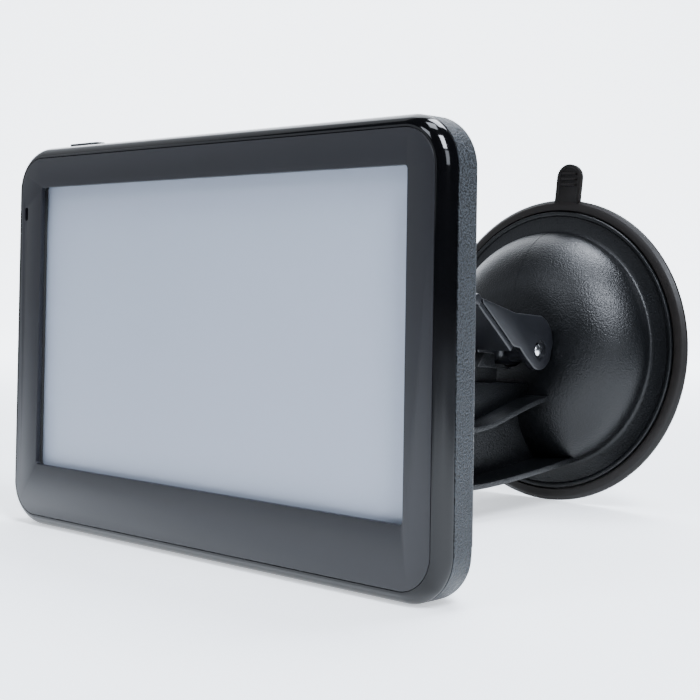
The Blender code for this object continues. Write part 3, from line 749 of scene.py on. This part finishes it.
dome = {"radius": 31.0, "height": 18.6, "core": 14.0, "step": 3.3, "square": 1.65, "flange": 37.0,
        "wall": 2.2, "roof": 2.4}
cup = {"radius": 40.4, "back": 1.2}


def domeBand(offset, top, steps):                        # shoulder of the dome, from its foot to its top
    points = []
    power = 2 / dome["square"]
    for step in range(steps + 1):
        angle = math.pi / 2 * step / steps
        reach = dome["radius"] - dome["core"] - offset
        points.append((dome["core"] + reach * max(math.cos(angle), 0) ** power,
                       dome["step"] + (top - dome["step"]) * math.sin(angle) ** power))
    return points


def makeDome():
    flange, radius, height = dome["flange"], dome["radius"], dome["height"]
    ceiling = height - dome["roof"]
    profile = [(0, ceiling)] + list(reversed(domeBand(dome["wall"], ceiling, 20)))
    profile += [(28.6, 0.3), (28.8, 0.2), (flange - 0.3, 0.2), (flange, 0.4), (flange, 1.25)]
    profile += [(flange - 0.15, 1.45), (flange - 0.45, 1.5), (flange - 0.9, 1.45), (flange - 1.15, 1.25),
                (flange - 1.3, 1.0), (flange - 1.8, 0.95), (radius + 1.0, 1.3), (radius + 0.5, 1.45),
                (radius + 0.2, 1.75), (radius + 0.05, 2.3)]
    profile += domeBand(0, height, 32) + [(8, height + 0.08), (0, height + 0.1)]
    piece = turnProfile("suctionDome", profile, 144, "z")
    carve(piece, rod("plungerHole", 4.7, 10, 30, "z", (0, pinOffset.y / mm), 48))
    setPlace(piece, cupPlace, cupTilt)
    finishPiece(piece, blastedAbs, "base", ["suction_base"], 40)

    bead = {"half": 0.09, "proud": 0.07, "sunk": 0.4}    # the mould's parting line, over dome and flange
    outer = domeBand(-bead["proud"], height + bead["proud"], 24)
    inner = domeBand(bead["sunk"], height - bead["sunk"], 24)
    overDome = sweepOutline("partingLine", outer + list(reversed(inner)), -bead["half"], bead["half"])
    overFlange = slab("flangeLine", (-bead["half"], 31.6, 0.6), (bead["half"], 35.2, 1.08))
    line = joinPieces([overDome, overFlange])
    setPlace(line, cupPlace, cupTilt)
    finishPiece(line, blastedAbs, "base", ["suction_base"], 40)


def armHalf(depth):                                      # half width, narrow at the nose
    start, end = 13.3, 48.0
    blend = min(max((depth - start) / (end - start), 0), 1)
    return min(8.0 + 4.0 * blend * blend * (3 - 2 * blend), 4.2 + (depth - start) * 0.8)


def armLines(steps):                                     # upper and lower edge, as (y, z) from the ball
    upper = curvePoints((13.6, 8.0), (22, 8.0), (32, -5.5), (50, -5.6), steps)
    upper += curvePoints((50, -5.6), (58, -5.5), (68, -0.9), (79, 0.5), steps // 2)[1:] + [(86, 1.4)]
    lower = curvePoints((13.6, -8.0), (22, -8.0), (30, -20.8), (50.4, -20.6), steps)
    lower += curvePoints((50.4, -20.6), (62, -20.5), (80, -18.6), (94, -16.7), steps // 2)[1:]
    return upper, lower


def sweepStrip(name, line, thick, halfWidth):            # extrudes a flat bar along a line of (y, z)
    first = line[0]
    piece = slab(name, (-halfWidth(first[0]), first[0] - 0.01, first[1] - thick / 2),
                 (halfWidth(first[0]), first[0], first[1] + thick / 2))
    pickFaces(piece, lambda c, n: n.y > 0.9)
    for start, end in zip(line, line[1:]):
        move = Vector((0, end[0] - start[0], end[1] - start[1])) * mm
        bpy.ops.mesh.extrude_region_move(TRANSFORM_OT_translate={"value": move})
        grow = halfWidth(end[0]) / halfWidth(start[0])
        bpy.ops.transform.resize(value=(grow, 1, 1))
    leaveEdit()
    cleanMesh(piece)
    return piece


def makeArm():
    arm = {"flange": 1.25, "web": 5.0, "webStart": 0.2, "steps": 20, "edge": 0.35, "nose": 8.2,
           "noseRound": 7.8, "noseEdge": 0.6, "studHole": 3.3}
    upper, lower = armLines(arm["steps"])
    half = arm["flange"] / 2
    top = sweepStrip("mountArm", [(y, z - half) for y, z in upper], arm["flange"], armHalf)
    bottom = sweepStrip("armBottom", [(y, z + half) for y, z in lower], arm["flange"], armHalf)
    for strip in (top, bottom):
        roundEdges(strip, arm["edge"], 3, 60)
    outline = [(y + arm["webStart"], z - half) for y, z in upper[:len(lower)]]
    outline += [(y + arm["webStart"], z + half) for y, z in reversed(lower)]
    web = sweepOutline("armWeb", outline, -arm["web"] / 2, arm["web"] / 2)
    wide = arm["nose"]
    nose = slab("armNose", (-wide, 13.3, -wide), (wide, 24, wide), arm["noseRound"], "y", 12)
    roundEdges(nose, arm["noseEdge"], 3, 60)
    parts = [top, bottom, web, nose]
    for part in parts:
        carve(part, rod("studHole", arm["studHole"], 10, 21.5, "y", (0, 0), 40))
    piece = joinPieces(parts)
    setPlace(piece, ballPlace)
    finishPiece(piece, blastedAbs, "base", ["suction_base"], 35)


def makeLeverStop():
    # a head that the lever rests on, a narrow neck and a long foot on the arm's upper flange
    head = [(-6.4, 26.5), (-5.8, 26.6), (-5.8, 32.4), (-4.6, 33.1), (-2.6, 33.4), (-2.6, 37.4), (-6.4, 39.8)]
    neck = [(-6.2, 27.5), (-6.2, 38.5), (-10.6, 38.5), (-10.6, 27.5)]
    foot = [(-10.2, 40.6), (-10.8, 51.0), (-12.6, 53.0), (-22, 52.2), (-13.8, 17.6), (-9.5, 17.4)]
    stop = {"half": 6.0, "neckHalf": 2.5, "edge": 0.3}
    headPiece = sweepOutline("leverStop", head, -stop["half"], stop["half"])
    neckPiece = sweepOutline("stopNeck", neck, -stop["neckHalf"], stop["neckHalf"])
    footPiece = sweepOutline("stopFoot", foot, -stop["half"], stop["half"])
    for part in (headPiece, footPiece):
        roundEdges(part, stop["edge"], 3, 25)
    piece = joinPieces([headPiece, neckPiece, footPiece])
    setPlace(piece, cupPlace, cupTilt)
    finishPiece(piece, blastedAbs, "base", ["suction_base"], 35)


def makeCup():
    tab = {"half": 3.8, "root": 36.0, "reach": 50.1, "turn": math.radians(-3.3), "low": 0.06, "top": 0.4,
           "border": 0.8, "sunk": 0.35, "ridges": 3, "ridgeGap": 1.5, "ridgeLong": 2.3, "ridgeHalf": 0.3,
           "ridgeUp": 0.2, "edge": 0.12}
    back, radius, rim = cup["back"], cup["radius"], dome["flange"] + 0.35
    profile = [(0, -0.5), (3.0, -0.5), (3.5, -0.8), (4.0, -0.5), (22, -0.7), (31, -back + 0.05),
               (33.0, -back), (33.3, -back + 0.25), (33.8, -back + 0.25), (34.1, -back),
               (radius - 0.3, -back), (radius, -back + 0.15),
               (radius, -0.6), (radius - 0.12, -0.38), (radius - 0.5, -0.1), (radius - 0.8, 0.25),
               (radius - 1.0, 0.42), (radius - 1.5, 0.6), (rim + 0.55, 0.92), (rim + 0.15, 0.9),
               (rim + 0.03, 0.75), (rim, -0.1), (17, -0.1), (16.6, 2.1), (16.2, 2.3), (0, 2.3)]
    piece = turnProfile("suctionCup", profile, 144, "z")
    half, root = tab["half"], tab["root"]
    tip = tab["reach"] / math.cos(tab["turn"]) - half
    outline = [(half, root)] + arcPoints(half, 0, 180, 24, 0, tip) + [(-half, root)]
    blade = sweepOutline("pullTab", outline, tab["low"] - back, tab["top"], "z")
    pickFaces(blade, lambda c, n: n.z > 0.9)
    insetFace(tab["border"], 0)
    insetFace(0.1, -tab["sunk"])                         # raised border round the tab
    leaveEdit()
    carve(blade, rod("tabClear", rim, -0.1, 3, "z", (0, 0), 144))
    roundEdges(blade, tab["edge"], 2, 50)
    parts = [blade]
    for number in range(tab["ridges"]):
        y = tip + 1.2 - number * tab["ridgeGap"]
        ridge = slab("tabRidge", (-tab["ridgeLong"], y - tab["ridgeHalf"], -tab["ridgeHalf"]),
                     (tab["ridgeLong"], y + tab["ridgeHalf"], tab["top"] + tab["ridgeUp"]), 0.28, "z", 5)
        roundEdges(ridge, tab["edge"], 2, 50)
        parts.append(ridge)
    blade = joinPieces(parts)
    makeActive(blade)
    blade.rotation_euler = (0, 0, tab["turn"])
    bpy.ops.object.transform_apply(location=True, rotation=True, scale=True)
    piece = joinPieces([piece, blade])
    setPlace(piece, cupPlace, cupTilt)
    finishPiece(piece, cupRubber, "base", ["suction_cup"], 40)


def makePlunger():
    stem = {"radius": 4.2, "top": 28.4, "disc": 14.0, "edge": 1.4, "bore": 1.8}
    radius, disc, edge = stem["radius"], stem["disc"], stem["edge"]
    profile = [(0, 2.7), (disc - 0.3, 2.7), (disc, 3.0), (disc, 3.9), (disc - 0.4, 4.2), (5.2, 5.0),
               (radius, 6.0), (radius, stem["top"] - edge)]
    profile += [(radius - edge + edge * math.cos(a), stem["top"] - edge + edge * math.sin(a))
                for a in (i * math.pi / 12 for i in range(1, 7))] + [(0, stem["top"])]
    piece = turnProfile("plungerStem", profile, 64, "z")
    setPlace(piece, Vector((0, pinOffset.y, 0)))
    carve(piece, rod("pinHole", stem["bore"], -6, 6, "x", (pinOffset.y / mm, pinOffset.z / mm), 32))
    setPlace(piece, cupPlace, cupTilt)
    finishPiece(piece, satinAbs, "plunger", ["plunger"])


def makePin():
    pin = {"radius": 1.5, "half": 13.2}
    r, h = pin["radius"], pin["half"]
    profile = [(0, -h), (0.6, -h + 0.02), (1.1, -h + 0.15), (r, -h + 0.5), (r, h - 0.5),
               (1.1, h - 0.15), (0.6, h - 0.02), (0, h)]
    piece = turnProfile("leverPin", profile, 48, "x")
    setPlace(piece, pinPlace, cupTilt)
    finishPiece(piece, polishedSteel, "plunger", ["lever_pin"], 40)


def makeLever():
    lever = {"hub": 5.0, "cam": 8.65, "out": 13.2, "inside": 11.3, "thick": 1.5, "plateOut": 13.5,
             "edge": 0.35, "plateEdge": 0.4, "lip": 1.4, "lipPlace": (10.9, 26.7), "recess": 2.5,
             "recessDeep": 0.7, "bore": 1.8, "tube": 3.2, "tubeInside": 4.8}
    cam = []
    for step in range(17):
        share = 1 - step / 16
        angle = math.pi / 2 * share
        radius = lever["hub"] + (lever["cam"] - lever["hub"]) * share
        cam.append((radius * math.sin(angle), -radius * math.cos(angle)))
    hub = arcPoints(lever["hub"], 270, 140, 16)
    cheek = [(11.3, 24.6), (lever["cam"] + 0.25, 12.0), (lever["cam"], 10.6)] + cam + hub[1:]
    cheek += [(-1.9, 6.0), (0.1, 8.4), (0.4, 11.2), (10.0, 24.1)]
    parts = []
    for side in (-1, 1):
        low, high = sorted((side * lever["inside"], side * lever["out"]))
        plate = sweepOutline("cheek", cheek, low, high)
        roundEdges(plate, lever["edge"], 3, 50)
        low, high = sorted((side * (lever["out"] - lever["recessDeep"]), side * (lever["out"] + 1)))
        carve(plate, rod("recess", lever["recess"], low, high, "x", (0, 0), 40))
        low, high = sorted((side * lever["tubeInside"], side * (lever["inside"] + 0.5)))
        tube = rod("hubTube", lever["tube"], low, high, "x", (0, 0), 40)
        for part in (plate, tube):
            carve(part, rod("pinBore", lever["bore"], -20, 20, "x", (0, 0), 32))
        parts += [plate, tube]
    start, end = Vector((0.2, 11.6)), Vector((10.6, 25.6))
    across = Vector((-(end - start).y, (end - start).x)).normalized() * lever["thick"]
    outline = [tuple(start), tuple(end), tuple(end + across), tuple(start + across)]
    thumbPlate = sweepOutline("suctionLever", outline, -lever["plateOut"], lever["plateOut"])
    roundEdges(thumbPlate, lever["plateEdge"], 4, 50)
    lip = rod("rolledLip", lever["lip"], -lever["plateOut"], lever["plateOut"], "x", lever["lipPlace"], 32)
    roundEdges(lip, lever["plateEdge"], 3, 50)
    piece = joinPieces([thumbPlate, lip, *parts])
    setPlace(piece, pinPlace, cupTilt)
    finishPiece(piece, satinAbs, "lever", ["lever"], 35)


makeDome()
makeArm()
makeLeverStop()
makeCup()
makePlunger()
makePin()
makeLever()
print("suction mount made")


# CAD nodes that keep their own shape

keptNodes = {"screen_gasket": gasketFoam, "touch_panel": touchFilm, "lcd_panel": touchFilm,
             "lcd_tray": tinPlate, "display_ribbon": polyimideFilm, "main_board": solderMask,
             "processor_shield": tinPlate, "battery": batteryFoil, "satellite_antenna": ceramicPatch,
             "speaker": satinAbs, "microphone": tinPlate, "port_board": solderMask,
             "usb_socket": tinPlate, "card_socket": tinPlate, "power_switch": satinAbs,
             "socket_liner": naturalNylon, "collar_liner": naturalNylon}
for name, material in keptNodes.items():
    node = frame["nodes"][name]
    for slotIndex in range(len(node.material_slots)):
        node.material_slots[slotIndex].material = material
print("kept nodes painted")


# floor, light and camera

def makeSweep():
    # a pale paper sweep: flat under the object, curving up behind it
    sweep = {"front": -6.0, "back": 0.9, "half": 6.0, "bend": 0.7, "height": 2.6, "turn": 43.0,
             "bendSteps": 12, "spread": 0.28}             # metres and degrees
    deselectAll()
    bpy.ops.mesh.primitive_plane_add(size=1, location=(0, (sweep["front"] + sweep["back"]) / 2, 0))
    piece = bpy.context.object
    piece.name = "paperSweep"
    piece.scale = (2 * sweep["half"], sweep["back"] - sweep["front"], 1)
    bpy.ops.object.transform_apply(location=True, rotation=True, scale=True)
    pickEdges(piece, lambda a, b: a.y > 100 and b.y > 100)
    last = (0.0, 0.0)
    for step in range(1, sweep["bendSteps"] + 1):
        angle = math.pi / 2 * step / sweep["bendSteps"]
        point = (sweep["bend"] * math.sin(angle), sweep["bend"] * (1 - math.cos(angle)))
        bpy.ops.mesh.extrude_region_move(
            TRANSFORM_OT_translate={"value": (0, point[0] - last[0], point[1] - last[1])})
        last = point
    bpy.ops.mesh.extrude_region_move(TRANSFORM_OT_translate={"value": (0, 0, sweep["height"])})
    leaveEdit()
    piece.rotation_euler = (0, 0, math.radians(sweep["turn"]))
    piece.data.materials.append(makePaper(sweep))
    bpy.ops.object.shade_smooth()


def makePaper(sweep):
    # matte white paper with painted light: white near the object and painted grey towards the sides and
    # front, with a painted glow that rises towards the back and dims where the grey comes in
    material, tree, shader = newMaterial("paperWithPaintedLight", Roughness=0.7)
    split = addNode(tree, "ShaderNodeSeparateXYZ", {}, {"Vector": objectPoint(tree)})
    side = addNode(tree, "ShaderNodeMath", {"operation": "ABSOLUTE"}, {0: split.outputs["X"]})
    wide = addNode(tree, "ShaderNodeMath", {"operation": "MULTIPLY_ADD", 1: -sweep["spread"], 2: -0.1},
                   {0: split.outputs["Y"]})
    past = addNode(tree, "ShaderNodeMath", {"operation": "ADD"}, {0: side.outputs[0], 1: wide.outputs[0]})
    sideFade = addNode(tree, "ShaderNodeMapRange",
                       {"interpolation_type": "SMOOTHSTEP", "From Min": 0.0, "From Max": 0.3},
                       {"Value": past.outputs[0]})
    frontFade = addNode(tree, "ShaderNodeMapRange",
                        {"interpolation_type": "SMOOTHSTEP", "From Min": -0.19, "From Max": -0.6},
                        {"Value": split.outputs["Y"]})
    paintedFalloff = addNode(tree, "ShaderNodeMath", {"operation": "MAXIMUM"},
                   {0: sideFade.outputs["Result"], 1: frontFade.outputs["Result"]})
    # painted shade: the paper turns grey where the painted falloff reaches, to the sides and front
    mixColours(tree, shader, paintedFalloff.outputs[0], "#f0f2f3", "#8b8d90")
    # painted glow: the paper emits light, more towards the back and less where the painted falloff reaches
    shader.inputs["Emission Color"].default_value = linear("#f3f8ff")
    rise = addNode(tree, "ShaderNodeMapRange",
                   {"interpolation_type": "SMOOTHSTEP", "From Min": 0.1, "From Max": 0.8,
                    "To Min": 0.85, "To Max": 3.6}, {"Value": split.outputs["Y"]})
    keep = addNode(tree, "ShaderNodeMapRange", {"To Min": 1.0, "To Max": 0.2}, {"Value": paintedFalloff.outputs[0]})
    paintedGlow = addNode(tree, "ShaderNodeMath", {"operation": "MULTIPLY"},
                   {0: rise.outputs["Result"], 1: keep.outputs["Result"]})
    tree.links.new(paintedGlow.outputs[0], shader.inputs["Emission Strength"])
    shader.inputs["Specular IOR Level"].default_value = 0.2
    return material


def addSoftbox(name, place, aim, size, power):
    light = bpy.data.lights.new(name, "AREA")
    light.shape = "RECTANGLE"
    light.size, light.size_y = size
    light.energy = power
    light.color = linear("#ecf3ff")[:3]
    lamp = bpy.data.objects.new(name, light)
    bpy.context.collection.objects.link(lamp)
    lamp.location = place
    lamp.rotation_euler = (Vector(aim) - Vector(place)).to_track_quat("-Z", "Y").to_euler()


def makeLight():
    world = bpy.data.worlds.new("studioAir")
    bpy.context.scene.world = world
    world.use_nodes = True
    air = world.node_tree.nodes["Background"]
    air.inputs["Color"].default_value = linear("#d5e0ee")
    air.inputs["Strength"].default_value = 0.09
    # each box: place, point it faces, size, in metres, and power in watts
    boxes = {"topBox": ((0.1, -0.1, 1.2), (0, 0, 0.04), (0.35, 0.35), 6),
             "backTopBox": ((0.03, 0.42, 1.1), (0, 0, 0.0), (0.45, 0.45), 18),
             "upperRightBox": ((0.72, -0.31, 0.92), (0, 0.04, 0.04), (0.28, 0.5), 26),
             "rightBox": ((1.1, -0.4, 0.5), (0, 0.04, 0.04), (0.3, 0.5), 4.5),
             "frontBox": ((-0.1, -0.9, 1.0), (0, -0.06, 0.05), (0.4, 0.4), 6),
             "leftWall": ((-0.85, -1.0, 0.52), (0, -0.06, 0.06), (1.1, 0.8), 3.4)}
    for name, (place, aim, size, power) in boxes.items():
        addSoftbox(name, place, aim, size, power)


def makeCamera():
    # placed from the front face: beside the right edge and slightly above the middle
    camera = {"offset": Vector((218.16, -187.73, 12.53)) * mm, "lens": 72.0, "sensor": 36.0,
              "shift": -0.1383, "right": Vector((0.7313, 0.6818, 0.0156)),
              "up": Vector((0.0048, -0.0281, 0.9996))}
    data = bpy.data.cameras.new("studioCamera")
    data.lens, data.sensor_width, data.shift_y = camera["lens"], camera["sensor"], camera["shift"]
    eye = bpy.data.objects.new("studioCamera", data)
    bpy.context.collection.objects.link(eye)
    right = camera["right"].normalized()
    back = right.cross(camera["up"]).normalized()
    up = back.cross(right)
    eye.matrix_world = Matrix.Translation(unitPlace + camera["offset"]) @ Matrix(
        (right, up, back)).transposed().to_4x4()
    data.clip_start, data.clip_end = 0.01, 20
    bpy.context.scene.camera = eye


makeSweep()
makeLight()
makeCamera()
print("floor, light and camera set")

deselectAll()
